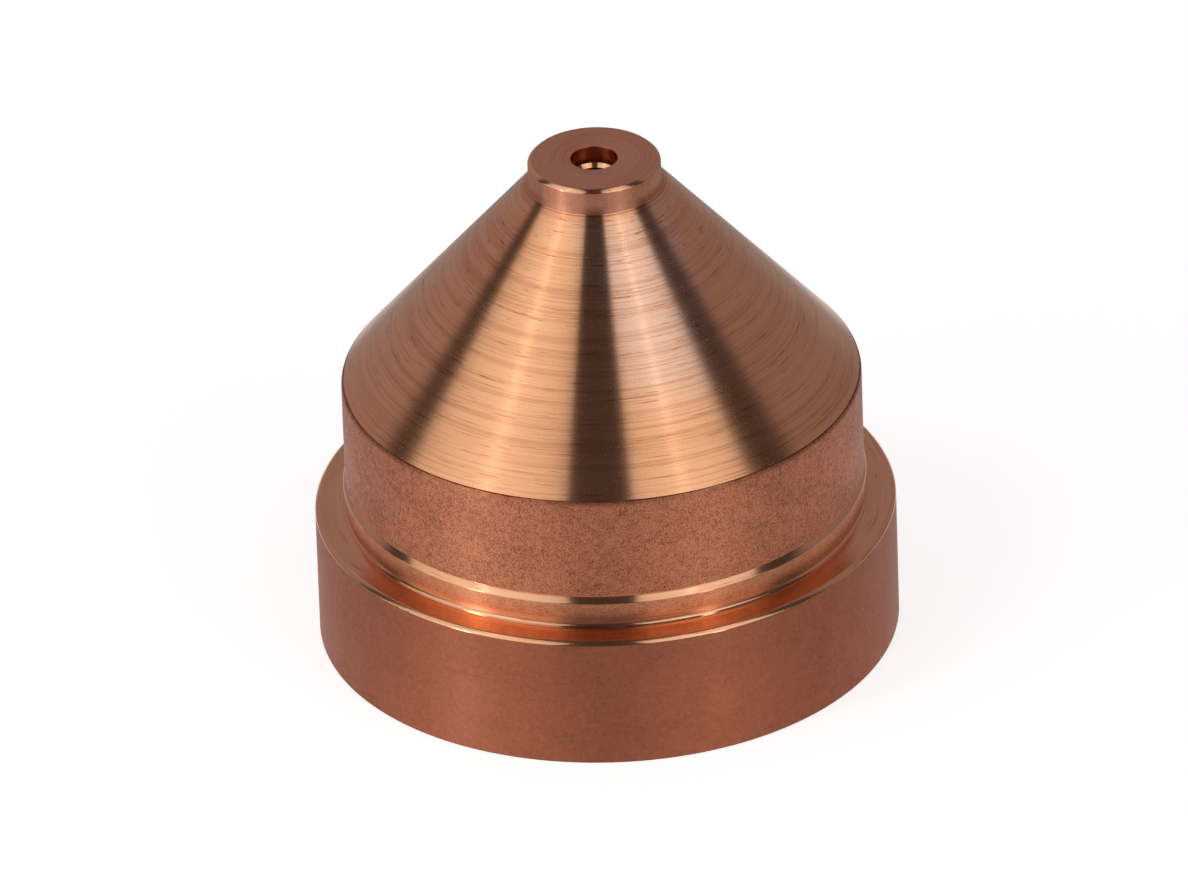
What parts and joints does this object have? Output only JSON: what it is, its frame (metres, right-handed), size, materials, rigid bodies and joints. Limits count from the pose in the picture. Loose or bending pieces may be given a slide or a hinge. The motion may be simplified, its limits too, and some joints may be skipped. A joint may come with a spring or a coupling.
{
  "type": "plasma torch nozzle",
  "caption": "Turned copper nozzle for a plasma cutting torch: flanged round body, long cone and a flat nose with a small stepped orifice.",
  "frame": {"origin": "centre of the rear face, which seats on the torch", "axes": "+Z along the axis of rotation, from the rear face to the orifice; X and Y across it, in the plane of the rear face"},
  "size_m": [0.025, 0.025, 0.0226],
  "materials": {
    "copper": "bare copper, turned bright on the cone and fine blasted on the body"
  },
  "bodies": {
    "root": {"nozzle": "copper"}
  },
  "joints": []
}
